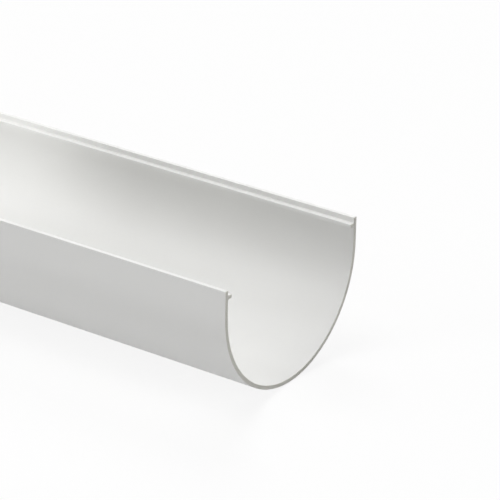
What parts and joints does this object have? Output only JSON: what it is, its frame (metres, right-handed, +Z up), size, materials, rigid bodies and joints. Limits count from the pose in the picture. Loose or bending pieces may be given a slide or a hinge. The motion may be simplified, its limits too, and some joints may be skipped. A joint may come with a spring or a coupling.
{
  "type": "half-round gutter section",
  "caption": "Straight rainwater gutter length with a deep half-round section, open top and a small clip ledge inside each rim.",
  "frame": {"origin": "on the lowest line of the rounded outside, halfway along the length", "axes": "+X along the gutter, +Y across it from one side to the other, +Z up through the open top"},
  "size_m": [2, 0.125, 0.0778],
  "materials": {
    "white_pvc": "smooth extruded white rigid PVC with a satin gloss, dull where it is sawn"
  },
  "bodies": {
    "root": {"gutter": "white_pvc"}
  },
  "joints": []
}
